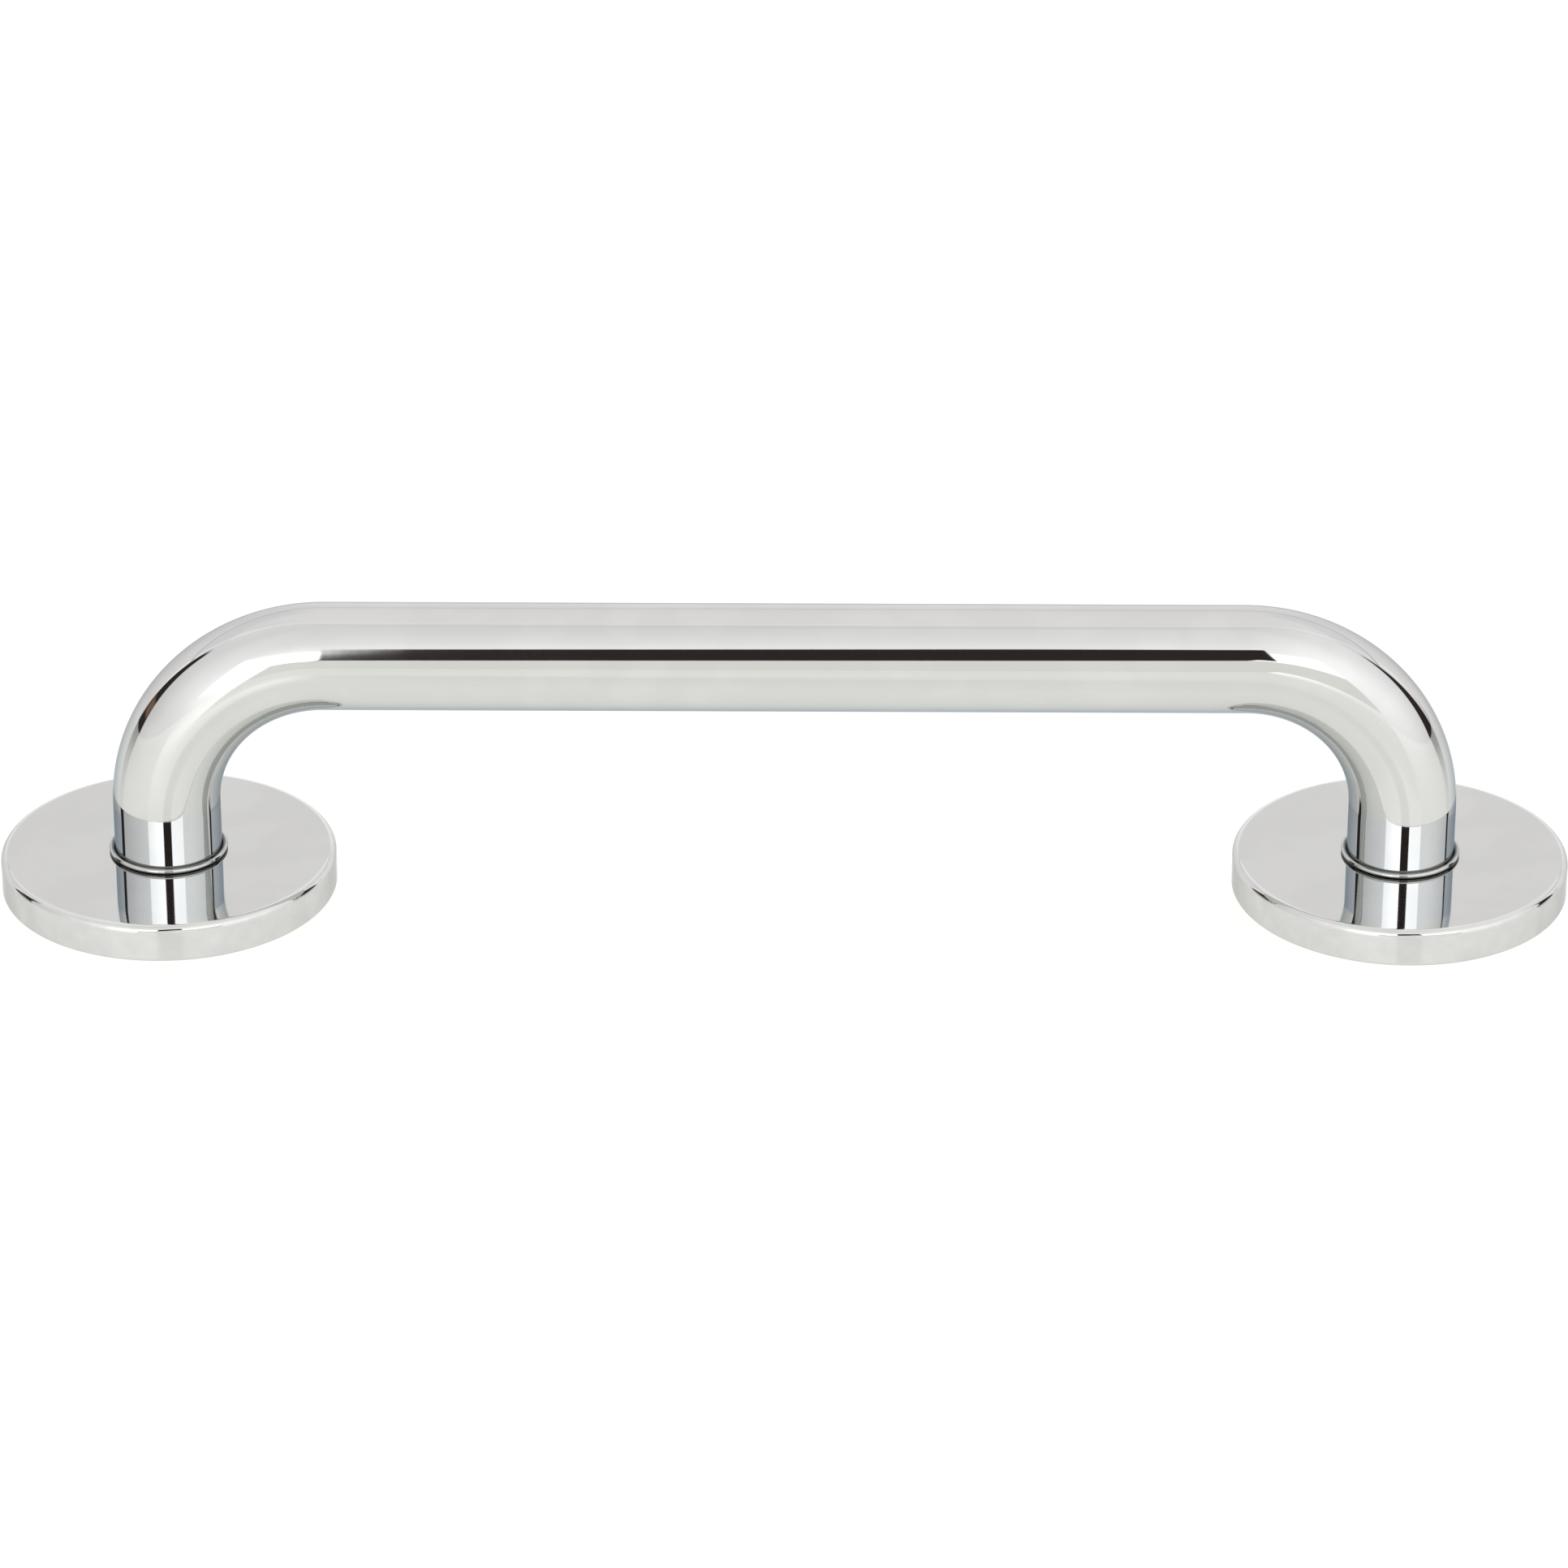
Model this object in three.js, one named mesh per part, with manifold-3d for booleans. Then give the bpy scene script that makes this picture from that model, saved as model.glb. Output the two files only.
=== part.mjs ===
// Grab rail: a mirror-polished bent tube that stands on two round flanges with concealed fixings.
// Millimetres, +Z up. The origin lies on the deck plane midway between the legs, and the bar runs along X.
//
// At each end the tube sits on a mounting plate, which a countersunk bolt pulls against a threaded plug
// inside the tube. Three deck screws hold the plate down on its gasket. A round cover with a collar ring
// slides up the leg to reach the screws, and an O-ring round the plate grips it when it is pushed home.

import * as THREE from "three";
import { mergeVertices } from "three/addons/utils/BufferGeometryUtils.js";
import Module from "manifold-3d";

const wasm = await Module();
wasm.setup();

// ---- Driving dimensions ----

const TUBE_DIAMETER = 25.4;
const TUBE_WALL = 1.6;
const LEG_SPACING = 292; // between the leg axes
const BAR_HEIGHT = 60; // deck to the bar's centreline
const BEND_RADIUS = 1.5 * TUBE_DIAMETER;

const COVER_DIAMETER = 79.4;
const COVER_HEIGHT = 9;
const COVER_WALL = 1.2;
const COVER_EDGE_RADIUS = 1.6;
const COVER_TRAVEL = 11; // how far a cover slides up its leg
const COLLAR_WIDTH = 1.3; // how far the collar's bead stands out from the tube
const COLLAR_HEIGHT = 1.3; // the bead above the cover

const GASKET_THICKNESS = 1.2;
const PLATE_DIAMETER = 74;
const PLATE_THICKNESS = 5;
const SPIGOT_HEIGHT = 2.5; // the plate's boss inside the tube
const O_RING_SECTION = 2.3;

const DECK_SCREW_DIAMETER = 4.8;
const DECK_SCREW_LENGTH = 35;
const DECK_SCREW_HEAD = 4.9; // the head's radius
const DECK_SCREW_CIRCLE = 52; // pitch circle diameter
const DECK_SCREW_ANGLES = [90, 210, 330]; // degrees about the leg
const PLATE_BOLT_DIAMETER = 7.8; // an M8 bolt, without its thread
const PLATE_BOLT_LENGTH = 16;
const PLATE_BOLT_HEAD = 8; // the head's radius
const PLUG_LENGTH = 12.5;

const SEAT_GAP = 0.05; // left between faces that rest on each other
const FIT_GAP = 0.2; // radial room round pins, heads and spigots

// ---- Derived sizes ----

const tubeRadius = TUBE_DIAMETER / 2;
const tubeBore = tubeRadius - TUBE_WALL;
const legX = LEG_SPACING / 2;
const bendStart = BAR_HEIGHT - BEND_RADIUS; // the height where a leg starts to bend
const coverRadius = COVER_DIAMETER / 2;
const coverBore = coverRadius - COVER_WALL;
const plateRadius = PLATE_DIAMETER / 2;
const plateTop = GASKET_THICKNESS + PLATE_THICKNESS;
const collarBore = tubeRadius + FIT_GAP + SEAT_GAP;
const collarSleeve = collarBore + 0.4;
const collarOuter = tubeRadius + COLLAR_WIDTH;

if (COVER_HEIGHT + COLLAR_HEIGHT + COVER_TRAVEL > bendStart) {
  throw new Error("the cover would slide past the straight part of the leg");
}

// ---- Materials ----

const polishedChrome = new THREE.MeshStandardMaterial({ color: 0xdfe2e3, roughness: 0.03, metalness: 1 });
const turnedSteel = new THREE.MeshStandardMaterial({ color: 0xa9acae, roughness: 0.32, metalness: 1 });
const screwSteel = new THREE.MeshStandardMaterial({ color: 0xc2c4c4, roughness: 0.22, metalness: 1 });
const brass = new THREE.MeshStandardMaterial({ color: 0xc59b4e, roughness: 0.3, metalness: 1 });
const blackRubber = new THREE.MeshStandardMaterial({ color: 0x1c1c1d, roughness: 0.75, metalness: 0 });
const foamRubber = new THREE.MeshStandardMaterial({ color: 0x2a2b2d, roughness: 0.95, metalness: 0 });

// ---- Geometry helpers ----

const FINE = 48; // facets round the plates and covers
const MEDIUM = 36; // round the collar rings and what is inside the tube
const COARSE = 16; // round the screws

// A solid of revolution about Z. The profile is a list of [radius, height], anticlockwise, and it either
// starts and ends on the axis or is closed here.
function revolve(profile, facets) {
  const points = profile.map(([radius, height]) => new THREE.Vector2(radius, height));
  const onAxis = points[0].x === 0 && points.at(-1).x === 0;
  if (!onAxis) points.push(points[0].clone());
  return new THREE.LatheGeometry(points, facets).rotateX(Math.PI / 2);
}

// Points along an arc of a profile, from one angle to another in degrees.
function arc(centreRadius, centreHeight, radius, from, to, steps) {
  return Array.from({ length: steps + 1 }, (_, i) => {
    const angle = THREE.MathUtils.degToRad(from + ((to - from) * i) / steps);
    return [centreRadius + radius * Math.cos(angle), centreHeight + radius * Math.sin(angle)];
  });
}

function toSolid(geometry) {
  const bare = geometry.clone();
  bare.deleteAttribute("normal");
  bare.deleteAttribute("uv");
  const merged = mergeVertices(bare);
  return new wasm.Manifold(
    new wasm.Mesh({
      numProp: 3,
      vertProperties: new Float32Array(merged.attributes.position.array),
      triVerts: new Uint32Array(merged.index.array),
    }),
  );
}

// The body with every cutter taken out of it.
function cut(body, cutters) {
  const solid = cutters.reduce((rest, cutter) => rest.subtract(toSolid(cutter)), toSolid(body));
  const mesh = solid.getMesh();
  const geometry = new THREE.BufferGeometry();
  geometry.setAttribute("position", new THREE.BufferAttribute(mesh.vertProperties, 3));
  geometry.setIndex(new THREE.BufferAttribute(mesh.triVerts, 1));
  geometry.computeVertexNormals();
  return geometry;
}

function deckScrewPlaces() {
  return DECK_SCREW_ANGLES.map((degrees) => {
    const angle = THREE.MathUtils.degToRad(degrees);
    const radius = DECK_SCREW_CIRCLE / 2;
    return new THREE.Vector2(radius * Math.cos(angle), radius * Math.sin(angle));
  });
}

// ---- Tube ----

// The rail's centreline: up the left leg, round the bend, along the bar and down the right leg.
// Equal steps of t give one step to each straight and BEND_STEPS to each bend.
const BEND_STEPS = 10;
const SWEEP_STEPS = 2 * BEND_STEPS + 3;

class RailCentreline extends THREE.Curve {
  getPoint(t, target = new THREE.Vector3()) {
    const left = t <= 0.5;
    const step = SWEEP_STEPS * (left ? t : 1 - t);
    const foot = plateTop + SEAT_GAP;
    let along = -legX;
    let height = foot + (bendStart - foot) * Math.min(step, 1);
    if (step > 1) {
      const turn = (Math.min(step - 1, BEND_STEPS) / BEND_STEPS) * (Math.PI / 2);
      along = -legX + BEND_RADIUS * (1 - Math.cos(turn));
      height = bendStart + BEND_RADIUS * Math.sin(turn);
    }
    if (step > 1 + BEND_STEPS) {
      along += (legX - BEND_RADIUS) * (step - 1 - BEND_STEPS) * 2;
    }
    return target.set(left ? along : -along, 0, height);
  }

  // The steps are spaced by t and not by length, so the bends get most of them.
  getUtoTmapping(u) {
    return u;
  }
}

function railTube() {
  const section = new THREE.Shape().absarc(0, 0, tubeRadius, 0, 2 * Math.PI, false);
  section.holes.push(new THREE.Path().absarc(0, 0, tubeBore, 0, 2 * Math.PI, true));
  return new THREE.ExtrudeGeometry(section, {
    steps: SWEEP_STEPS,
    curveSegments: 14,
    extrudePath: new RailCentreline(),
  });
}

// ---- Pieces of one end, with the leg's axis on Z ----

function endPlug() {
  const bottom = plateTop + SPIGOT_HEIGHT + 0.3;
  const top = bottom + PLUG_LENGTH;
  const outer = tubeBore - FIT_GAP - SEAT_GAP;
  const bore = PLATE_BOLT_DIAMETER / 2 + FIT_GAP;
  const boreEnd = top - 2.5;
  const chamfer = 0.6;
  return revolve(
    [
      [0, boreEnd],
      [bore, boreEnd],
      [bore, bottom + chamfer],
      [bore + chamfer, bottom],
      [outer - chamfer, bottom],
      [outer, bottom + chamfer],
      [outer, top - chamfer],
      [outer - chamfer, top],
      [0, top],
    ],
    MEDIUM,
  );
}

function mountingPlate() {
  const bottom = GASKET_THICKNESS;
  const bore = PLATE_BOLT_DIAMETER / 2 + 0.4;
  const countersink = PLATE_BOLT_HEAD + 0.4;
  const grooveFloor = plateRadius - 1.2;
  const grooveHalf = O_RING_SECTION / 2 + 0.15;
  const grooveMiddle = bottom + PLATE_THICKNESS / 2;
  const spigot = tubeBore - FIT_GAP;
  const chamfer = 0.5;
  const disc = revolve(
    [
      [bore, plateTop + SPIGOT_HEIGHT],
      [bore, bottom + countersink - bore],
      [countersink, bottom],
      [plateRadius - chamfer, bottom],
      [plateRadius, bottom + chamfer],
      [plateRadius, grooveMiddle - grooveHalf],
      [grooveFloor, grooveMiddle - grooveHalf],
      [grooveFloor, grooveMiddle + grooveHalf],
      [plateRadius, grooveMiddle + grooveHalf],
      [plateRadius, plateTop - chamfer],
      [plateRadius - chamfer, plateTop],
      [spigot, plateTop],
      [spigot, plateTop + SPIGOT_HEIGHT - chamfer],
      [spigot - chamfer, plateTop + SPIGOT_HEIGHT],
    ],
    FINE,
  );
  const hole = DECK_SCREW_DIAMETER / 2 + 0.35;
  const mouth = DECK_SCREW_HEAD + 0.5;
  const screwHole = revolve(
    [
      [0, bottom - 1],
      [hole, bottom - 1],
      [hole, plateTop - (mouth - hole)],
      [mouth + 1, plateTop + 1],
      [0, plateTop + 1],
    ],
    COARSE,
  );
  return cut(
    disc,
    deckScrewPlaces().map((place) => screwHole.clone().translate(place.x, place.y, 0)),
  );
}

function plateBolt() {
  const bottom = GASKET_THICKNESS + 0.3;
  const shank = PLATE_BOLT_DIAMETER / 2;
  const tip = bottom + PLATE_BOLT_LENGTH;
  const rim = 0.4; // the head's short straight edge
  const head = PLATE_BOLT_HEAD - 0.2;
  const body = revolve(
    [
      [0, bottom],
      [head - rim, bottom],
      [head - rim, bottom + rim],
      [shank, bottom + head - shank],
      [shank, tip - 0.8],
      [shank - 0.8, tip],
      [0, tip],
    ],
    MEDIUM,
  );
  const socketDepth = 3;
  const socket = new THREE.CylinderGeometry(2.9, 2.9, 2 * socketDepth, 6).rotateX(Math.PI / 2);
  return cut(body, [socket.translate(0, 0, bottom)]);
}

function coverORing() {
  const centre = plateRadius - 1.2 + 0.2 + O_RING_SECTION / 2;
  const ring = new THREE.TorusGeometry(centre, O_RING_SECTION / 2, 6, FINE);
  return ring.translate(0, 0, GASKET_THICKNESS + PLATE_THICKNESS / 2);
}

function baseGasket() {
  const pad = new THREE.Shape().absarc(0, 0, plateRadius - 0.5, 0, 2 * Math.PI, false);
  pad.holes.push(new THREE.Path().absarc(0, 0, PLATE_BOLT_HEAD + 2, 0, 2 * Math.PI, true));
  for (const place of deckScrewPlaces()) {
    const radius = DECK_SCREW_DIAMETER / 2 + 0.8;
    pad.holes.push(new THREE.Path().absarc(place.x, place.y, radius, 0, 2 * Math.PI, true));
  }
  return new THREE.ExtrudeGeometry(pad, {
    depth: GASKET_THICKNESS - SEAT_GAP,
    bevelEnabled: false,
    curveSegments: COARSE,
  });
}

// A shallow cup, open below, with a rounded rim and a hole for the collar ring.
function flangeCover() {
  const hole = collarSleeve + FIT_GAP;
  const innerEdge = COVER_EDGE_RADIUS - COVER_WALL;
  const edgeHeight = COVER_HEIGHT - COVER_EDGE_RADIUS;
  const toe = 0.3; // the skirt's rounded lower edge
  return revolve(
    [
      [coverBore, toe],
      [coverBore + toe, 0],
      [coverRadius - toe, 0],
      [coverRadius, toe],
      ...arc(coverRadius - COVER_EDGE_RADIUS, edgeHeight, COVER_EDGE_RADIUS, 0, 90, 5),
      [hole, COVER_HEIGHT],
      [hole, COVER_HEIGHT - COVER_WALL],
      ...arc(coverRadius - COVER_EDGE_RADIUS, edgeHeight, innerEdge, 90, 0, 3),
    ],
    FINE,
  );
}

// A bead that rests on the cover, and a short sleeve that lines the cover's hole.
function collarRing() {
  const seat = COVER_HEIGHT + SEAT_GAP;
  const beadRadius = (collarOuter - collarBore) / 2;
  const beadCentre = COVER_HEIGHT + COLLAR_HEIGHT - beadRadius;
  const sleeveEnd = COVER_HEIGHT - COVER_WALL - 0.8;
  return revolve(
    [
      [collarBore, sleeveEnd],
      [collarSleeve, sleeveEnd],
      [collarSleeve, seat],
      [collarOuter - 0.1, seat],
      ...arc(collarBore + beadRadius, beadCentre, beadRadius, 0, 180, 6),
    ],
    MEDIUM,
  );
}

function deckScrew() {
  const top = plateTop - 0.1;
  const shank = DECK_SCREW_DIAMETER / 2;
  const tip = top - DECK_SCREW_LENGTH;
  const rim = 0.2;
  const body = revolve(
    [
      [0, tip],
      [0.4, tip + 0.5],
      [shank, tip + 7],
      [shank, top - rim - (DECK_SCREW_HEAD - shank)],
      [DECK_SCREW_HEAD, top - rim],
      [DECK_SCREW_HEAD, top],
      [0, top],
    ],
    COARSE,
  );
  const recess = { length: 5.4, width: 1.1, depth: 2 };
  const slot = new THREE.BoxGeometry(recess.length, recess.width, 2 * recess.depth);
  slot.translate(0, 0, top);
  return cut(body, [slot, slot.clone().rotateZ(Math.PI / 2)]);
}

// ---- Assembly ----

function piece(name, geometry, material) {
  const mesh = new THREE.Mesh(geometry, material);
  mesh.name = name;
  return mesh;
}

// Everything that belongs to one end, gathered round its leg's axis.
function railEnd(side, x) {
  const end = new THREE.Group();
  end.position.x = x;
  end.add(
    piece(`${side}_end_plug`, endPlug(), brass),
    piece(`${side}_mounting_plate`, mountingPlate(), turnedSteel),
    piece(`${side}_plate_bolt`, plateBolt(), screwSteel),
    piece(`${side}_cover_o_ring`, coverORing(), blackRubber),
    piece(`${side}_base_gasket`, baseGasket(), foamRubber),
    piece(`${side}_flange_cover`, flangeCover(), polishedChrome),
    piece(`${side}_collar_ring`, collarRing(), polishedChrome),
  );
  deckScrewPlaces().forEach((place, i) => {
    const screw = piece(`${side}_deck_screw_${i + 1}`, deckScrew(), screwSteel);
    screw.position.set(place.x, place.y, 0);
    end.add(screw);
  });
  return end;
}

const grabRail = new THREE.Group();
grabRail.add(piece("rail_tube", railTube(), polishedChrome));
grabRail.add(railEnd("left", -legX), railEnd("right", legX));

export default grabRail;
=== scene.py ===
"""Looks for the grab rail: a mirror-polished tube on two round flanges, in a white photo tent.

Metres, +Z up. The deck is at height 0 and the rail runs along X."""

import math

import bmesh
import bpy
from mathutils import Matrix, Vector


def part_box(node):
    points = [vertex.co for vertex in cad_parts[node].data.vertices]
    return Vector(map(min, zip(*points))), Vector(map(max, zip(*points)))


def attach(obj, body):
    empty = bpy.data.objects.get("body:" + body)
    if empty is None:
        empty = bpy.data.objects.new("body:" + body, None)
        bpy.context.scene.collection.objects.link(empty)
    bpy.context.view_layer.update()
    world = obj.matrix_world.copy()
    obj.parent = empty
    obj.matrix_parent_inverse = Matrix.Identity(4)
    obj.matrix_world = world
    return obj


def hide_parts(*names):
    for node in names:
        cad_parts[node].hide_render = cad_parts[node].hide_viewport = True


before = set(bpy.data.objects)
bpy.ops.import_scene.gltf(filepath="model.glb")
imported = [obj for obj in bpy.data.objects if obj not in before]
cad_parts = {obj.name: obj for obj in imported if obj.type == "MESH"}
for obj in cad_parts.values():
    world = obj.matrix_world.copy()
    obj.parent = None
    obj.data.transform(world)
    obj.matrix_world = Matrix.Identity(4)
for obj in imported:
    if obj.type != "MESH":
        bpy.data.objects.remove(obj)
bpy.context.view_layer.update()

MM = 0.001
SIDES = ("left", "right")


# ---- Sizes, read from the frame ----

tube_low, tube_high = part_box("rail_tube")
TUBE_RADIUS = (tube_high.y - tube_low.y) / 2
TUBE_WALL = 1.6 * MM
TUBE_BORE = TUBE_RADIUS - TUBE_WALL
LEG_X = tube_high.x - TUBE_RADIUS
BAR_Z = tube_high.z - TUBE_RADIUS
FOOT_Z = tube_low.z
BEND_RADIUS = 3 * TUBE_RADIUS
COVER_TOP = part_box("left_flange_cover")[1].z


def leg_foot(side):
    """Where the leg's axis meets the deck."""
    return Vector((-LEG_X if side == "left" else LEG_X, 0, 0))


def radius_and_heights(node):
    """The outer radius, the bottom and the top of a round node that stands on Z."""
    low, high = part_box(node)
    return (high.y - low.y) / 2, low.z, high.z


# ---- Shader helpers ----


class Value:
    """A number in a node tree. Arithmetic on it adds nodes, so that a formula reads as one."""

    def __init__(self, tree, socket):
        self.tree = tree
        self.socket = socket

    def math(self, operation, *others):
        node = self.tree.nodes.new("ShaderNodeMath")
        node.operation = operation
        for slot, value in zip(node.inputs, (self, *others)):
            if isinstance(value, Value):
                self.tree.links.new(value.socket, slot)
            else:
                slot.default_value = value
        return Value(self.tree, node.outputs[0])

    def __add__(self, other):
        return self.math("ADD", other)

    def __sub__(self, other):
        return self.math("SUBTRACT", other)

    def __mul__(self, other):
        return self.math("MULTIPLY", other)

    def __truediv__(self, other):
        return self.math("DIVIDE", other)

    def __neg__(self):
        return self * -1.0

    def above(self, edge, soft):
        """0 where this is under the edge and 1 where it is over it, smooth across a width of 2 x soft."""
        x = (self - edge) / (2 * soft) + 0.5
        x = x.math("MAXIMUM", 0.0).math("MINIMUM", 1.0)
        return x * x * ((-x) * 2.0 + 3.0)

    def between(self, low, high, soft):
        return self.above(low, soft) - self.above(high, soft)


def layered(tree, under, over, mask):
    """One colour over another, by a mask."""
    mix = tree.nodes.new("ShaderNodeMix")
    mix.data_type = "RGBA"
    tree.links.new(mask.socket, mix.inputs["Factor"])
    for slot, colour in ((mix.inputs["A"], under), (mix.inputs["B"], over)):
        if isinstance(colour, bpy.types.NodeSocket):
            tree.links.new(colour, slot)
        else:
            slot.default_value = (*colour, 1)
    return mix.outputs["Result"]


def scaled(tree, colour, level):
    """A colour made brighter or darker by a number."""
    made = tree.nodes.new("ShaderNodeVectorMath")
    made.operation = "SCALE"
    if isinstance(colour, bpy.types.NodeSocket):
        tree.links.new(colour, made.inputs["Vector"])
    else:
        made.inputs["Vector"].default_value = colour
    tree.links.new(level.socket, made.inputs["Scale"])
    return made.outputs["Vector"]


def add_node(tree, kind, **inputs):
    """A node with its inputs set by name, each to a number, a colour or another node's output."""
    node = tree.nodes.new(kind)
    for name, value in inputs.items():
        slot = node.inputs[name.replace("_", " ")]
        if isinstance(value, Value):
            value = value.socket
        if isinstance(value, bpy.types.NodeSocket):
            tree.links.new(value, slot)
        elif slot.type == "RGBA" and len(value) == 3:
            slot.default_value = (*value, 1)
        else:
            slot.default_value = value
    return node


def principled(name):
    material = bpy.data.materials.new(name)
    material.use_nodes = True
    tree = material.node_tree
    return material, tree, tree.nodes["Principled BSDF"]


def object_place(tree):
    return tree.nodes.new("ShaderNodeTexCoord").outputs["Object"]


def noise(tree, place, scale, detail=2.0):
    """Soft blotches as a number from 0 to 1, about scale of them to the metre."""
    made = add_node(tree, "ShaderNodeTexNoise", Vector=place, Scale=scale, Detail=detail)
    return Value(tree, made.outputs["Fac"])


def bump(tree, height, depth):
    """A normal from a height of 0 to 1, which is worth depth in metres."""
    return add_node(tree, "ShaderNodeBump", Height=height, Distance=depth, Strength=1.0).outputs["Normal"]


# ---- Materials ----

# CHROME is what the plating gives back of the light that falls straight on it. The others tint the light
# that skims it: blue-grey on the tube's sides, and plain on the covers and the collars. The tube's upper
# side gets a nearly plain tint, which is a painted reflection colour.
CHROME = (0.64, 0.65, 0.63)
TUBE_SKIMMED = (0.51, 0.57, 0.62)
TUBE_TOP_PAINTED_TINT = (0.55, 0.56, 0.575)
COVER_SKIMMED = (0.68, 0.69, 0.69)


def polished_chrome(name, ripple, haze, skimmed):
    """A plated mirror: long faint ripples, fine pitting, and a haze that comes and goes."""
    material, tree, shader = principled(name)
    place = object_place(tree)
    long_ripple = noise(tree, place, 60)
    short_ripple = noise(tree, place, 420)
    pitting = noise(tree, place, 6000, 3)
    height = long_ripple + short_ripple * 0.12 + pitting * 0.006
    smear = noise(tree, place, 35, 4)
    rough = smear * haze + 0.015
    tint = layered(tree, CHROME, [0.97 * c for c in CHROME], smear.between(0.45, 0.6, 0.05))
    shader.inputs["Metallic"].default_value = 1
    shader.inputs["Specular Tint"].default_value = (*skimmed, 1)
    tree.links.new(tint, shader.inputs["Base Color"])
    tree.links.new(rough.socket, shader.inputs["Roughness"])
    tree.links.new(bump(tree, height, ripple), shader.inputs["Normal"])
    return material


def paint_upper_side_tint(material, side_skimmed, painted_top_tint):
    """Paints the reflections on the upper side less blue: where the normal points up, the light that skims
    it gets a plainer tint, a painted reflection tint.
    """
    tree = material.node_tree
    normal = tree.nodes.new("ShaderNodeNewGeometry").outputs["Normal"]
    split = add_node(tree, "ShaderNodeSeparateXYZ", Vector=normal)
    upward = Value(tree, split.outputs["Z"]).above(0.35, 0.25)
    tint = layered(tree, side_skimmed, painted_top_tint, upward)
    tree.links.new(tint, tree.nodes["Principled BSDF"].inputs["Specular Tint"])


def paint_bright_top_above(material, height):
    """Brightens a chrome above a height, a painted brighter reflection on the cover's flat top. Under it the
    plating is mottled.
    """
    gain = 1.13
    blend = 0.08 * MM
    tree = material.node_tree
    base = tree.nodes["Principled BSDF"].inputs["Base Color"]
    tint = base.links[0].from_socket
    place = object_place(tree)
    split = add_node(tree, "ShaderNodeSeparateXYZ", Vector=place)
    painted_bright_top = Value(tree, split.outputs["Z"]).above(height, blend)
    mottle = noise(tree, place, 260, 3) * 0.16 - 0.08 + 1.0
    level = painted_bright_top * gain + (-painted_bright_top + 1.0) * mottle
    tree.links.new(scaled(tree, tint, level), base)


def paint_bead_crevice_shade(material, foot, crest, middle):
    """Darkens a round bead with painted shade: under its waist, and on the side towards the tube, made
    patchy. The bead goes up from foot to crest, and middle is the radius that its own centre is at."""
    tree = material.node_tree
    base = tree.nodes["Principled BSDF"].inputs["Base Color"]
    tint = base.links[0].from_socket
    place = object_place(tree)
    split = add_node(tree, "ShaderNodeSeparateXYZ", Vector=place)
    x, y, z = (Value(tree, split.outputs[axis]) for axis in "XYZ")
    radius = (x * x + y * y).math("SQRT")
    waist = (foot + crest) / 2
    patchy = noise(tree, place, 500, 3) * 0.3 + 0.7
    under = -z.above(waist, 0.12 * MM) + 1.0
    inner = -radius.above(middle + 0.15 * MM, 0.25 * MM) + 1.0
    level = (under * -0.8 + 1.0) * (inner * -0.6 + 1.0) * patchy
    tree.links.new(scaled(tree, tint, level), base)


def turned_metal(name, colour, groove, rough):
    """Metal faced on a lathe: rings round the piece's own axis, with a fine uneven grain."""
    material, tree, shader = principled(name)
    place = object_place(tree)
    split = add_node(tree, "ShaderNodeSeparateXYZ", Vector=place)
    x, y = Value(tree, split.outputs["X"]), Value(tree, split.outputs["Y"])
    radius = (x * x + y * y).math("SQRT")
    rings = (radius * (2 * math.pi / groove)).math("SINE") * 0.5 + 0.5
    grain = noise(tree, place, 900, 4)
    stain = noise(tree, place, 70, 3)
    shade = layered(tree, colour, [0.8 * c for c in colour], stain.between(0.45, 0.8, 0.15))
    shader.inputs["Metallic"].default_value = 1
    shader.inputs["Anisotropic"].default_value = 0.4
    tree.links.new(shade, shader.inputs["Base Color"])
    tree.links.new((grain * 0.12 + rough).socket, shader.inputs["Roughness"])
    tree.links.new(bump(tree, rings * 0.6 + grain * 0.4, 0.012 * MM), shader.inputs["Normal"])
    return material


def rubber(name, colour, rough, cell):
    """Rubber with a fine skin; cell is the size of its grain in metres."""
    material, tree, shader = principled(name)
    place = object_place(tree)
    cells = add_node(tree, "ShaderNodeTexVoronoi", Vector=place, Scale=1 / cell)
    pores = Value(tree, cells.outputs["Distance"])
    dust = noise(tree, place, 150, 4)
    shade = layered(tree, colour, [c + 0.05 for c in colour], dust.between(0.5, 0.75, 0.12))
    tree.links.new(shade, shader.inputs["Base Color"])
    tree.links.new((dust * 0.15 + rough).socket, shader.inputs["Roughness"])
    tree.links.new(bump(tree, pores, cell * 0.3), shader.inputs["Normal"])
    return material


rail_chrome = polished_chrome("rail_chrome", 0.006 * MM, 0.04, TUBE_SKIMMED)
# Painted reflection tint: the tube's upper side reflects less blue than its sides.
paint_upper_side_tint(rail_chrome, TUBE_SKIMMED, TUBE_TOP_PAINTED_TINT)
cover_chrome = polished_chrome("cover_chrome", 0.004 * MM, 0.06, COVER_SKIMMED)
# Painted highlight: the covers' flat tops reflect brighter than their rims.
paint_bright_top_above(cover_chrome, COVER_TOP - 0.12 * MM)
collar_chrome = polished_chrome("collar_chrome", 0.002 * MM, 0.04, COVER_SKIMMED)
collar_radius, _, collar_top = radius_and_heights("left_collar_ring")
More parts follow.
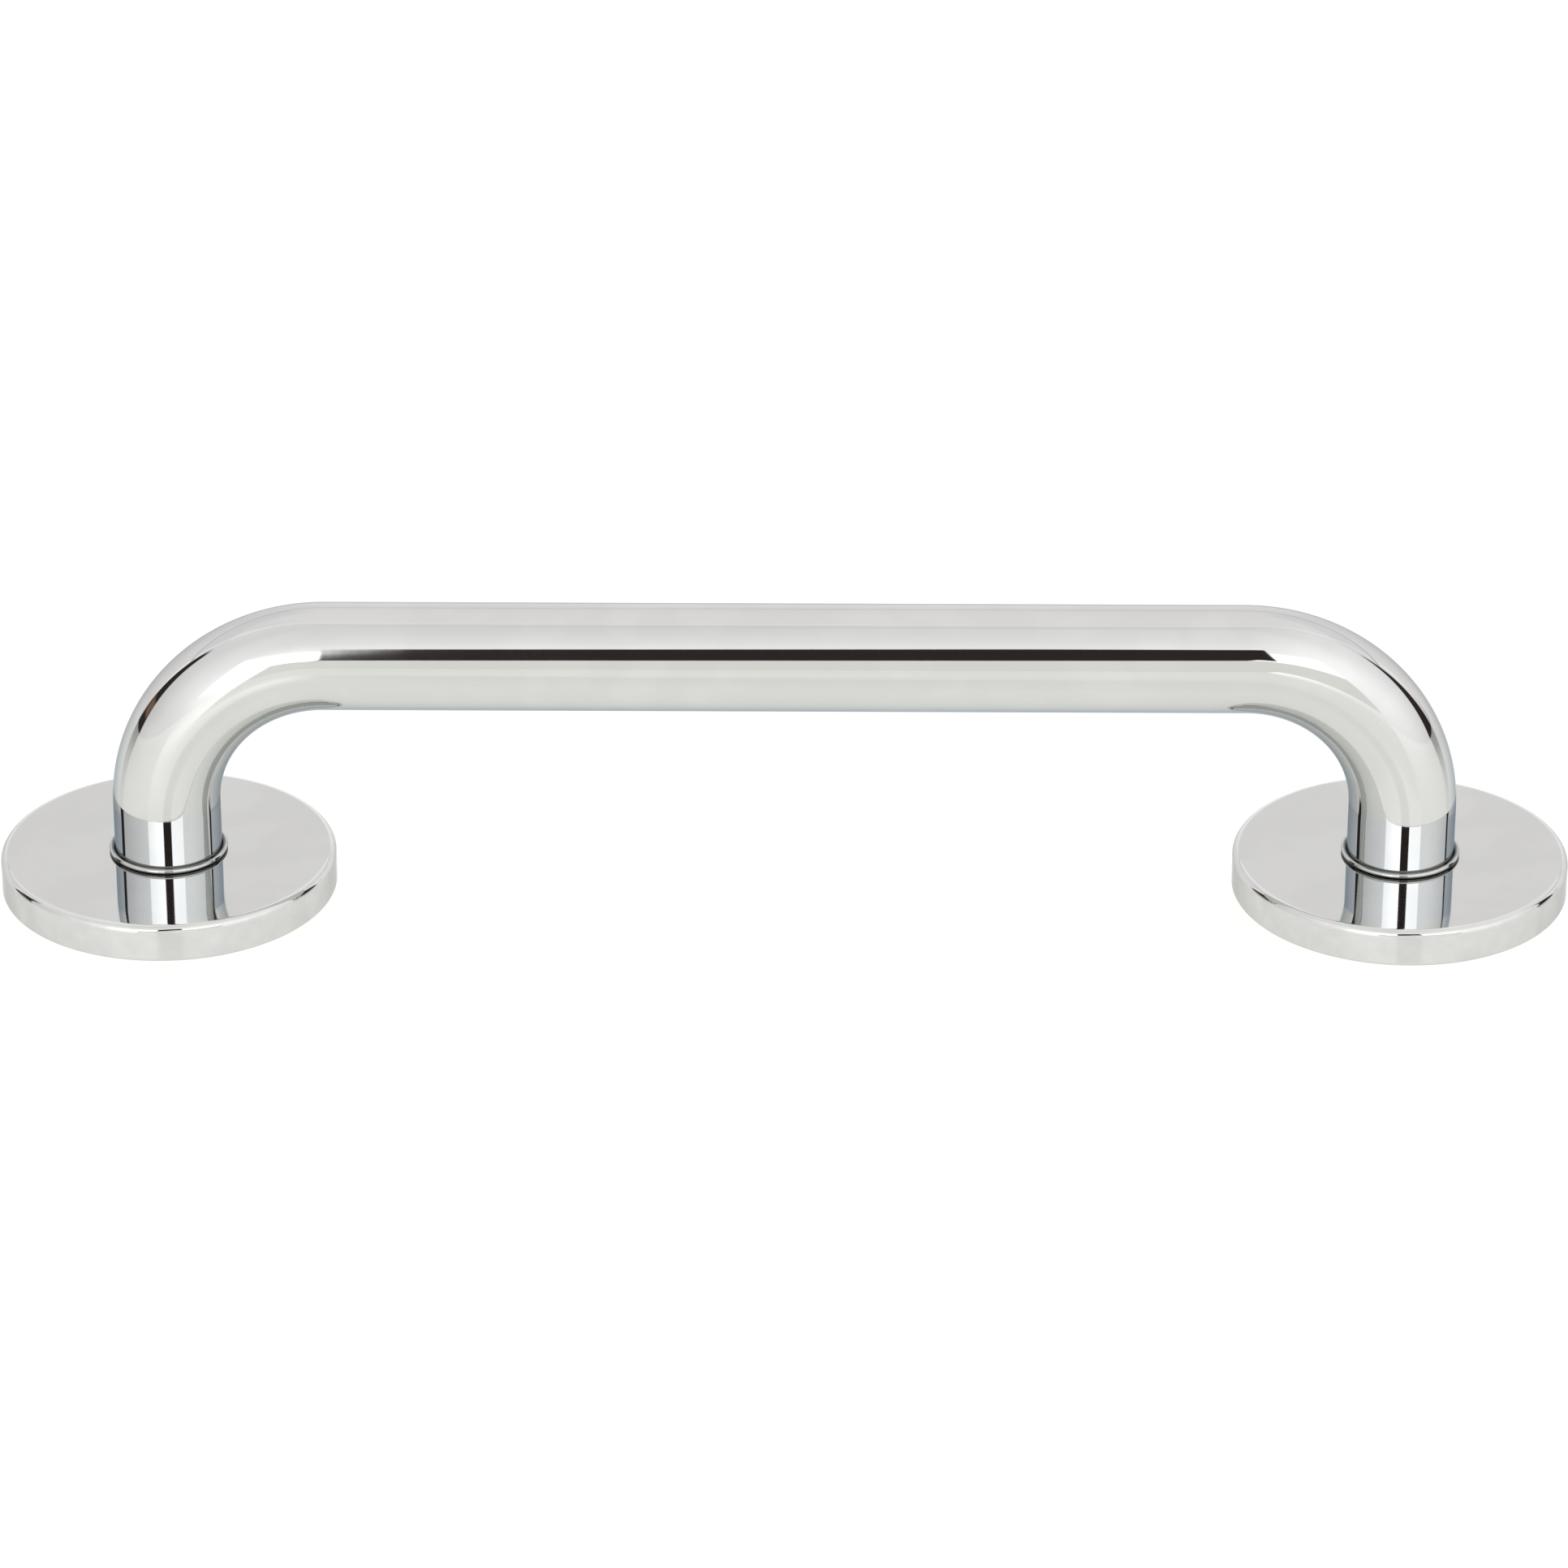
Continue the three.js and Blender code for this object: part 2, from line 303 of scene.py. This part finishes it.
# Painted shade under the collars' beads and on their side towards the tube.
paint_bead_crevice_shade(collar_chrome, COVER_TOP, collar_top, collar_radius - (collar_top - COVER_TOP) / 2)
plate_steel = turned_metal("plate_steel", (0.5, 0.5, 0.49), 0.35 * MM, 0.25)
screw_steel = turned_metal("screw_steel", (0.58, 0.58, 0.57), 0.2 * MM, 0.18)
plug_brass = turned_metal("plug_brass", (0.75, 0.52, 0.2), 0.3 * MM, 0.25)
ring_rubber = rubber("ring_rubber", (0.015, 0.015, 0.016), 0.4, 0.15 * MM)
gasket_rubber = rubber("gasket_rubber", (0.03, 0.031, 0.034), 0.75, 0.4 * MM)


# ---- Mesh helpers ----

SHARP = math.radians(30)
FLAT_GUARD = 0.1 * MM  # a flat has a point this near its rounded edge, so that it is shaded flat up to there


def finish_piece(name, bm, material, place, body, nodes):
    """Makes a piece of the mesh, with its own origin at a place, and ties it to the frame."""
    bmesh.ops.recalc_face_normals(bm, faces=bm.faces)
    mesh = bpy.data.meshes.new(name)
    bm.to_mesh(mesh)
    bm.free()
    mesh.shade_smooth()
    mesh.set_sharp_from_angle(angle=SHARP)
    mesh.materials.append(material)
    piece = bpy.data.objects.new(name, mesh)
    piece.location = place
    bpy.context.scene.collection.objects.link(piece)
    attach(piece, body)
    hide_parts(*nodes)


def arc(radius, height, bend, start, end, steps):
    """Points of a profile along an arc round (radius, height), from one angle to another in degrees."""
    angles = [math.radians(start + (end - start) * i / steps) for i in range(steps + 1)]
    return [(radius + bend * math.cos(a), height + bend * math.sin(a)) for a in angles]


def join_rings(bm, rings, closed_along=False):
    """Faces between each ring of vertices and the next, and from the last to the first if closed_along."""
    count = len(rings[0])
    following = rings[1:] + rings[:1] if closed_along else rings[1:]
    for ring, after in zip(rings, following):
        for i in range(count):
            j = (i + 1) % count
            bm.faces.new((ring[i], ring[j], after[j], after[i]))


def ring_of(bm, radius, height, facets):
    """A level ring of vertices about Z."""
    turns = [2 * math.pi * i / facets for i in range(facets)]
    return [bm.verts.new((radius * math.cos(t), radius * math.sin(t), height)) for t in turns]


def turned(profile, facets=192):
    """A solid of revolution about Z. A profile that starts on the axis has to end on it, and any other one
    closes on itself."""
    bm = bmesh.new()
    solid = profile[0][0] == 0
    ends = (profile[0][1], profile[-1][1])
    points = profile[1:-1] if solid else profile
    rings = [ring_of(bm, radius, height, facets) for radius, height in points]
    join_rings(bm, rings, closed_along=not solid)
    if solid:
        for ring, height in zip((rings[0], rings[-1]), ends):
            centre = bm.verts.new((0, 0, height))
            for i in range(facets):
                bm.faces.new((ring[i], ring[(i + 1) % facets], centre))
    return bm


def cut_away(bm, cutters):
    """The solid with each cutter taken out of it."""
    def temporary(source):
        bmesh.ops.recalc_face_normals(source, faces=source.faces)
        mesh = bpy.data.meshes.new("temporary")
        source.to_mesh(mesh)
        source.free()
        made = bpy.data.objects.new("temporary", mesh)
        bpy.context.scene.collection.objects.link(made)
        return made

    body = temporary(bm)
    tools = [temporary(c) for c in cutters]
    for tool in tools:
        modifier = body.modifiers.new("cut", "BOOLEAN")
        modifier.operation = "DIFFERENCE"
        modifier.solver = "EXACT"
        modifier.object = tool
    done = body.evaluated_get(bpy.context.evaluated_depsgraph_get()).to_mesh()
    result = bmesh.new()
    result.from_mesh(done)
    for made in (body, *tools):
        mesh = made.data
        bpy.data.objects.remove(made)
        bpy.data.meshes.remove(mesh)
    return result


def threaded_shaft(bm, core, crest, pitch, bottom, top, facets=32):
    """The rings of a shaft with a right-hand thread, from its bottom to its top. They are returned, open at
    both ends, for the caller to join to a tip and a head."""
    steps_per_pitch = 8
    steps = max(2, round((top - bottom) / pitch * steps_per_pitch))
    rings = []
    for k in range(steps + 1):
        height = bottom + (top - bottom) * k / steps
        fade = min(1, (height - bottom) / pitch, (top - height) / pitch)
        ring = []
        for i in range(facets):
            turn = i / facets
            phase = (height / pitch - turn) % 1
            ridge = max(0, 1 - abs(phase - 0.5) * 3)
            radius = core + (crest - core) * ridge * fade
            angle = 2 * math.pi * turn
            ring.append(bm.verts.new((radius * math.cos(angle), radius * math.sin(angle), height)))
        rings.append(ring)
    join_rings(bm, rings)
    return rings


# ---- The rail ----


def rail_stations():
    """(centre, direction) along the rail, from the left foot to the right one: many on each bend, and on a
    straight one just clear of the bend, so that it is shaded as a straight."""
    bend_steps = 72
    start_z = BAR_Z - BEND_RADIUS
    corner = LEG_X - BEND_RADIUS
    clear = 0.5 * MM
    half = [(Vector((-LEG_X, 0, z)), Vector((0, 0, 1))) for z in (FOOT_Z, start_z - clear)]
    for i in range(bend_steps + 1):
        a = math.pi / 2 * i / bend_steps
        centre = Vector((-corner - BEND_RADIUS * math.cos(a), 0, start_z + BEND_RADIUS * math.sin(a)))
        half.append((centre, Vector((math.sin(a), 0, math.cos(a)))))
    half.append((Vector((-corner + clear, 0, BAR_Z)), Vector((1, 0, 0))))
    other = [(Vector((-c.x, 0, c.z)), Vector((d.x, 0, -d.z))) for c, d in reversed(half)]
    return half + other


def sweep(bm, radius, facets, stations):
    """A pipe along the stations, open at both ends."""
    rings = []
    for centre, direction in stations:
        side = Vector((0, 1, 0))
        up = direction.cross(side)
        turns = [2 * math.pi * i / facets for i in range(facets)]
        points = [centre + radius * (math.cos(t) * side + math.sin(t) * up) for t in turns]
        rings.append([bm.verts.new(point) for point in points])
    join_rings(bm, rings)
    return rings


def make_rail():
    facets = 144
    bm = bmesh.new()
    stations = rail_stations()
    outside = sweep(bm, TUBE_RADIUS, facets, stations)
    inside = sweep(bm, TUBE_BORE, facets, stations)
    for k in (0, -1):
        join_rings(bm, [outside[k], inside[k]])
    finish_piece("polished_tube", bm, rail_chrome, (0, 0, 0), "rail", ["rail_tube"])


# ---- Each end ----


def make_cover(side):
    """The shallow cup over the plate. Its hole's edge is under the collar's bead."""
    radius, bottom, top = radius_and_heights(f"{side}_flange_cover")
    wall = 1.2 * MM
    edge = 1.6 * MM
    toe = 0.3 * MM
    hole = radius_and_heights(f"{side}_collar_ring")[0] - 0.5 * MM
    profile = [(radius - wall, bottom + toe)]
    profile += arc(radius - wall / 2, bottom + wall / 2, wall / 2, 180, 360, 10)[1:]
    profile += [(radius, bottom + wall / 2 + FLAT_GUARD), (radius, top - edge - FLAT_GUARD)]
    profile += arc(radius - edge, top - edge, edge, 0, 90, 16)
    profile += [(radius - edge - FLAT_GUARD, top), (hole + toe + FLAT_GUARD, top)]
    profile += arc(hole + toe, top - toe, toe, 90, 180, 4)
    profile += arc(hole + toe, top - wall + toe, toe, 180, 270, 4)
    profile += arc(radius - edge, top - edge, edge - wall, 90, 0, 6)
    bm = turned(profile, 256)
    finish_piece(
        f"{side}_polished_cover", bm, cover_chrome, leg_foot(side), f"{side}_cover",
        [f"{side}_flange_cover"],
    )


def make_collar(side):
    """A round bead on the cover, with a sleeve that goes down round the tube through the cover's hole."""
    radius, bottom, top = radius_and_heights(f"{side}_collar_ring")
    bore = TUBE_RADIUS + 0.06 * MM
    sleeve = bore + 0.55 * MM
    bead = (top - COVER_TOP) / 2
    centre = radius - bead
    profile = [(bore, bottom), (sleeve, bottom)]
    profile += arc(centre, top - bead, bead, 270, 510, 60)
    profile += [(bore, COVER_TOP + 0.6 * bead)]
    bm = turned(profile)
    finish_piece(
        f"{side}_polished_collar", bm, collar_chrome, leg_foot(side), f"{side}_collar",
        [f"{side}_collar_ring"],
    )


def screw_places(side):
    """The axes of the end's deck screws, measured from the leg's axis, and their nodes."""
    places = []
    for i in (1, 2, 3):
        node = f"{side}_deck_screw_{i}"
        low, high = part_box(node)
        middle = (low + high) / 2
        places.append((node, Vector((middle.x, middle.y, 0)) - leg_foot(side)))
    return places


def moved(bm, place):
    """The mesh, put at a place."""
    bmesh.ops.translate(bm, vec=place, verts=bm.verts)
    return bm


def make_plate(side):
    """The plate under the cover, with an O-ring groove, a spigot for the tube and countersunk holes."""
    node = f"{side}_mounting_plate"
    radius, bottom, top = radius_and_heights(node)
    screw_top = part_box(f"{side}_deck_screw_1")[1].z
    spigot = TUBE_BORE - 0.2 * MM
    face = screw_top + 0.1 * MM
    chamfer = 0.5 * MM
    bore = 4.3 * MM
    countersink = 8.4 * MM
    groove = 1.2 * MM
    groove_half = 1.3 * MM
    middle = (bottom + face) / 2
    profile = [
        (bore, top),
        (bore, bottom + countersink - bore),
        (countersink, bottom),
        (radius - chamfer, bottom),
        (radius, bottom + chamfer),
        (radius, middle - groove_half),
        (radius - groove, middle - groove_half),
        (radius - groove, middle + groove_half),
        (radius, middle + groove_half),
        (radius, face - chamfer),
        (radius - chamfer, face),
        (spigot, face),
        (spigot, top - chamfer),
        (spigot - chamfer, top),
    ]
    hole = 2.75 * MM
    mouth = 5.4 * MM
    over = 1 * MM
    drill = [
        (0, bottom - over),
        (hole, bottom - over),
        (hole, face - mouth + hole),
        (mouth + over, face + over),
        (0, face + over),
    ]
    cutters = [moved(turned(drill, 64), place) for _, place in screw_places(side)]
    bm = cut_away(turned(profile), cutters)
    finish_piece(f"{side}_turned_plate", bm, plate_steel, leg_foot(side), "rail", [node])


def make_deck_screw(side, node, place):
    """A countersunk screw with a cross recess, a sharp thread and a gimlet point."""
    low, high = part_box(node)
    top, tip = high.z, low.z
    head = (high.y - low.y) / 2
    shank = 2.4 * MM
    core = 1.7 * MM
    rim = 0.2 * MM
    neck = top - rim - (head - shank)
    thread_top = neck - 6 * MM
    thread_bottom = tip + 5 * MM
    bm = bmesh.new()
    rings = threaded_shaft(bm, core, shank, 1.8 * MM, thread_bottom, thread_top)
    facets = len(rings[0])
    outline = [
        (core, thread_top + 0.3 * MM),
        (shank, thread_top + 0.9 * MM),
        (shank, neck),
        (head, top - rim),
        (head, top),
    ]
    upper = [ring_of(bm, radius, height, facets) for radius, height in outline]
    join_rings(bm, [rings[-1], *upper])
    crown = bm.verts.new((0, 0, top))
    point = bm.verts.new((0, 0, tip))
    for i in range(facets):
        j = (i + 1) % facets
        bm.faces.new((upper[-1][i], upper[-1][j], crown))
        bm.faces.new((rings[0][j], rings[0][i], point))
    bmesh.ops.recalc_face_normals(bm, faces=bm.faces)
    slot_length = 5.6 * MM
    slot_width = 1.1 * MM
    slot_height = 4.6 * MM
    slot_taper = 0.45
    slots = []
    for turn in (0, math.pi / 2):
        slot = bmesh.new()
        wing = bmesh.ops.create_cube(slot, size=1)["verts"]
        for v in wing:
            length = slot_length * (1 if v.co.z > 0 else slot_taper)
            v.co = Vector((v.co.x * length, v.co.y * slot_width, top + v.co.z * slot_height))
        bmesh.ops.rotate(slot, verts=wing, cent=(0, 0, 0), matrix=Matrix.Rotation(turn, 3, "Z"))
        slots.append(slot)
    bm = cut_away(bm, slots)
    where = leg_foot(side) + place
    finish_piece(f"{node}_threaded", bm, screw_steel, where, "rail", [node])


def make_plate_bolt(side):
    """The countersunk machine screw under the plate, with a hexagon socket."""
    node = f"{side}_plate_bolt"
    head, bottom, top = radius_and_heights(node)
    shank = 3.9 * MM
    core = 3.3 * MM
    rim = 0.4 * MM
    neck = bottom + head + 0.4 * MM - shank
    bm = bmesh.new()
    rings = threaded_shaft(bm, core, shank, 1.25 * MM, neck + 1 * MM, top - 0.6 * MM, 40)
    facets = len(rings[0])
    lower = [ring_of(bm, r, z, facets) for r, z in ((head, bottom), (head, bottom + rim), (shank, neck))]
    join_rings(bm, [*lower, rings[0]])
    upper = ring_of(bm, core - 0.5 * MM, top, facets)
    join_rings(bm, [rings[-1], upper])
    under = bm.verts.new((0, 0, bottom))
    crown = bm.verts.new((0, 0, top))
    for i in range(facets):
        j = (i + 1) % facets
        bm.faces.new((lower[0][j], lower[0][i], under))
        bm.faces.new((upper[i], upper[j], crown))
    depth = 3 * MM
    corner = 2.9 * MM
    point = 0.8 * MM
    socket = [
        (0, bottom - depth),
        (corner, bottom - depth),
        (corner, bottom + depth),
        (0, bottom + depth + point),
    ]
    bm = cut_away(bm, [turned(socket, 6)])
    finish_piece(f"{side}_threaded_bolt", bm, screw_steel, leg_foot(side), "rail", [node])


def make_plug(side):
    """The brass insert: a blind tapped hole, and grip grooves round the outside."""
    node = f"{side}_end_plug"
    outer, bottom, top = radius_and_heights(node)
    bore = 4.1 * MM
    chamfer = 0.6 * MM
    groove = 0.35 * MM
    blind_end = top - 2.5 * MM
    profile = [
        (0, blind_end),
        (bore, blind_end),
        (bore, bottom + chamfer),
        (bore + chamfer, bottom),
        (outer - chamfer, bottom),
        (outer, bottom + chamfer),
    ]
    count = 5
    pitch = (top - bottom - 4 * chamfer) / count
    for i in range(count):
        start = bottom + 2 * chamfer + i * pitch
        profile += [
            (outer, start),
            (outer - groove, start + 0.3 * pitch),
            (outer - groove, start + 0.5 * pitch),
            (outer, start + 0.8 * pitch),
        ]
    profile += [(outer, top - chamfer), (outer - chamfer, top), (0, top)]
    bm = turned(profile, 96)
    finish_piece(f"{side}_turned_plug", bm, plug_brass, leg_foot(side), "rail", [node])


def make_o_ring(side):
    """The cover's O-ring, with the thin moulding line that one has round its rim."""
    node = f"{side}_cover_o_ring"
    outer, bottom, top = radius_and_heights(node)
    section = (top - bottom) / 2
    middle = (top + bottom) / 2
    flash = 0.04 * MM
    centre = outer - section
    profile = arc(centre, middle, section, 4, 356, 30)
    profile.append((outer + flash, middle))
    bm = turned(profile)
    finish_piece(f"{side}_round_o_ring", bm, ring_rubber, leg_foot(side), "rail", [node])


def make_gasket(side):
    """The foam pad under the plate, with its edges pressed slightly round."""
    node = f"{side}_base_gasket"
    outer, bottom, top = radius_and_heights(node)
    inner = 10 * MM
    soft = 0.25 * MM
    profile = arc(outer - soft, top - soft, soft, 0, 90, 4) + [(inner, top), (inner, bottom)]
    profile += [(outer - soft, bottom), (outer, bottom + soft)]
    hole = 3.2 * MM
    over = 1 * MM
    punch = [(0, bottom - over), (hole, bottom - over), (hole, top + over), (0, top + over)]
    cutters = [moved(turned(punch, 48), place) for _, place in screw_places(side)]
    bm = cut_away(turned(profile), cutters)
    finish_piece(f"{side}_cut_gasket", bm, gasket_rubber, leg_foot(side), "rail", [node])


make_rail()
for side in SIDES:
    make_cover(side)
    make_collar(side)
    make_plate(side)
    make_plate_bolt(side)
    make_plug(side)
    make_o_ring(side)
    make_gasket(side)
    for node, place in screw_places(side):
        make_deck_screw(side, node, place)


# ---- The white photo tent ----


def shade(red, green, blue):
    """An sRGB shade, 0 to 255, in linear light."""
    def linear(c):
        c = c / 255
        return c / 12.92 if c <= 0.04045 else ((c + 0.055) / 1.055) ** 2.4

    return tuple(linear(c) for c in (red, green, blue))


def light_seen_as(red, green, blue):
    """The light that the chrome gives back as this shade."""
    return tuple(c / metal for c, metal in zip(shade(red, green, blue), CHROME))


TENT = light_seen_as(255, 255, 253)
COOL_STRIP = light_seen_as(254, 255, 259)
BACK_SHEET = light_seen_as(217, 216, 214)
SHEET_HEM = light_seen_as(238, 234, 232)
FRONT_SILL = light_seen_as(214, 214, 208)
DARK_ROOM = light_seen_as(44, 38, 37)
WARM_ROOM = light_seen_as(112, 88, 74)
SIDE_GAP = light_seen_as(180, 185, 193)

# The elevations that the legs see by way of the flanges' flat tops, in degrees, and how softly they end.
LEG_STRIP = (27.4, 29.3, 0.4)


def tent_light():
    """The tent: a bright cloth in front with the camera's slit in it, a dark door seam down each side, and a
    plain grey sheet behind. Azimuth 0 is the camera's side and grows to the right, in degrees."""
    world = bpy.data.worlds.new("photo_tent")
    bpy.context.scene.world = world
    world.use_nodes = True
    tree = world.node_tree
    direction = tree.nodes.new("ShaderNodeTexCoord").outputs["Generated"]
    split = add_node(tree, "ShaderNodeSeparateXYZ", Vector=direction)
    x, y, z = (Value(tree, split.outputs[axis]) for axis in "XYZ")
    azimuth = x.math("ARCTAN2", -y) * math.degrees(1)
    elevation = z.math("ARCSINE") * math.degrees(1)
    turn = azimuth.math("ABSOLUTE")
    leg_strip = elevation.between(*LEG_STRIP)

    def glow(across, centre, width, centre_elevation, height):
        """A soft patch of light round a centre. Across is azimuth, or turn for a patch on each side."""
        side = (across - centre) / width
        up = (elevation - centre_elevation) / height
        return (-(side * side + up * up)).math("EXPONENT")

    # The cloth: lamps shine through it in soft patches, and two panels of it are brighter.
    right_lamp = glow(azimuth, 43, 58, 23, 47)
    left_lamp = glow(azimuth, -10, 25, 11, 21)
    left_wall = glow(azimuth, -53, 33, 24, 43)
    side_wall = glow(turn, 114, 24, 50, 28)
    left_foot = glow(azimuth, -78, 25, 0, 7)
    left_panel = azimuth.between(-37.5, -3, 0.8) * elevation.between(9, 33.5, 3)
    right_panel = azimuth.between(12, 38, 0.8) * elevation.between(20, 38, 3)
    level = z * 0.16 + right_lamp * 0.41 + left_lamp * 0.72 + left_wall * 0.21 + 0.463
    level = level + left_panel * 0.42 + right_panel * 0.44 + side_wall * 0.08 + left_foot * 0.09
    cloth = layered(tree, TENT, COOL_STRIP, leg_strip)
    colour = scaled(tree, cloth, level)

    # The sheet behind: a little narrower on the right, rounded at its top corners, with a bright hem.
    width = azimuth.above(0, 1) * -5.0 + 62
    behind = (-turn + 180.0) / width
    height = (elevation / 78).math("MAXIMUM", 0.0)
    sheet_edge = behind.math("POWER", 3.5) + height.math("POWER", 3.5)
    hem_width = elevation * -0.008 + 0.9
    hem_level = elevation * -0.008 + 1.1
    hem = (-(sheet_edge - 1.0) / hem_width + 1.0).above(0.3, 0.3) * hem_level
    colour = layered(tree, colour, SHEET_HEM, hem * elevation.above(10, 10))
    low_light = glow(turn, 180.0, 20, 0, 18) * 0.44 + (x * 0.05 + 1.0)
    low_light = low_light - turn.above(158, 8) * elevation.between(26.9, 29.7, 0.6) * 0.17
    colour = layered(tree, colour, scaled(tree, BACK_SHEET, low_light), -sheet_edge.above(1, 0.06) + 1.0)

    # Between the cloth and the sheet, the room's daylight comes in on each side.
    side_gap = leg_strip * 0.75 + elevation.between(27.4, 46, 3) * 0.25
    colour = layered(tree, colour, SIDE_GAP, turn.between(112, 166, 4) * side_gap)

    # The sill under the cloth in front.
    sill_top = azimuth.above(-4, 3) * 7.5 + 15.5
    sill_foot = azimuth.above(6, 3) * 8 - 5
    sill = azimuth.between(-17, 38, 1)
    sill = sill * (elevation - sill_foot).above(0, 1) * (sill_top - elevation).above(0, 1)
    colour = layered(tree, colour, FRONT_SILL, sill)

    # The door seams, with a glimpse of the room through the left one.
    seam_slope = azimuth.above(0, 1) * 0.16 + 0.24
    seam_inner = turn - (elevation * seam_slope + 96)
    seam_outer = (elevation * -0.1 + 116) - turn
    seam = seam_inner.above(0, 1) * seam_outer.above(0, 1) * (-elevation + 38).above(0, 3)
    colour = layered(tree, colour, DARK_ROOM, seam)
    glimpse = azimuth.between(-112, -100, 2) * elevation.between(5, 11, 1)
    colour = layered(tree, colour, WARM_ROOM, glimpse)

    # The camera's slit.
    slit_foot = (azimuth * 0.8 + 19.8).math("MINIMUM", 24.8)
    slit_top = (azimuth * 0.75 + 44).math("MINIMUM", 45.8)
    slit = azimuth.between(-4.5, 12.5, 0.6)
    slit = slit * (elevation - slit_foot).above(0, 0.8) * (slit_top - elevation).above(0, 0.8)
    colour = layered(tree, colour, DARK_ROOM, slit)
    tree.links.new(colour, tree.nodes["Background"].inputs["Color"])


def make_floor():
    """A pale glossy sheet, lit from below, and a little brighter in front of the rail."""
    half = 6
    diffuse = 0.2
    mesh = bpy.data.meshes.new("floor")
    corners = [(-half, -half, 0), (half, -half, 0), (half, half, 0), (-half, half, 0)]
    mesh.from_pydata(corners, [], [(0, 1, 2, 3)])
    floor = bpy.data.objects.new("floor", mesh)
    bpy.context.scene.collection.objects.link(floor)
    material, tree, shader = principled("floor_sheet")
    place = object_place(tree)
    split = add_node(tree, "ShaderNodeSeparateXYZ", Vector=place)
    y = Value(tree, split.outputs["Y"])
    grain = noise(tree, place, 60, 4)
    in_front = (-y).above(0.2, 0.2)
    level = in_front * 0.12 + grain * 0.02 + 0.99
    shader.inputs["Base Color"].default_value = (diffuse, diffuse, diffuse, 1)
    shader.inputs["Roughness"].default_value = 0.9
    shader.inputs["Specular IOR Level"].default_value = 0
    shader.inputs["Coat Weight"].default_value = 1
    shader.inputs["Coat IOR"].default_value = 1.3
    shader.inputs["Coat Roughness"].default_value = 0.15
    tent_share = diffuse * 1.1
    glow = [c - tent_share for c in light_seen_as(218, 219, 214)]
    shader.inputs["Emission Color"].default_value = (*glow, 1)
    tree.links.new(level.socket, shader.inputs["Emission Strength"])
    mesh.materials.append(material)


def make_camera():
    """A long lens, looking a little down at the rail's middle."""
    azimuth, elevation, roll = math.radians(0.21), math.radians(27.59), 0.0019
    distance = 1.749
    target = Vector((-0.0001, 0, 0.0266))
    flat = math.cos(elevation)
    back = Vector((math.sin(azimuth) * flat, -math.cos(azimuth) * flat, math.sin(elevation)))
    data = bpy.data.cameras.new("camera")
    data.sensor_width = 36
    data.lens = 170.1
    camera = bpy.data.objects.new("camera", data)
    camera.location = target + back * distance
    camera.rotation_mode = "QUATERNION"
    camera.rotation_quaternion = (-back).to_track_quat("-Z", "Y")
    camera.rotation_quaternion = camera.rotation_quaternion @ Matrix.Rotation(roll, 3, "Z").to_quaternion()
    bpy.context.scene.collection.objects.link(camera)
    bpy.context.scene.camera = camera


tent_light()
make_floor()
make_camera()
bpy.context.scene.view_settings.view_transform = "Standard"
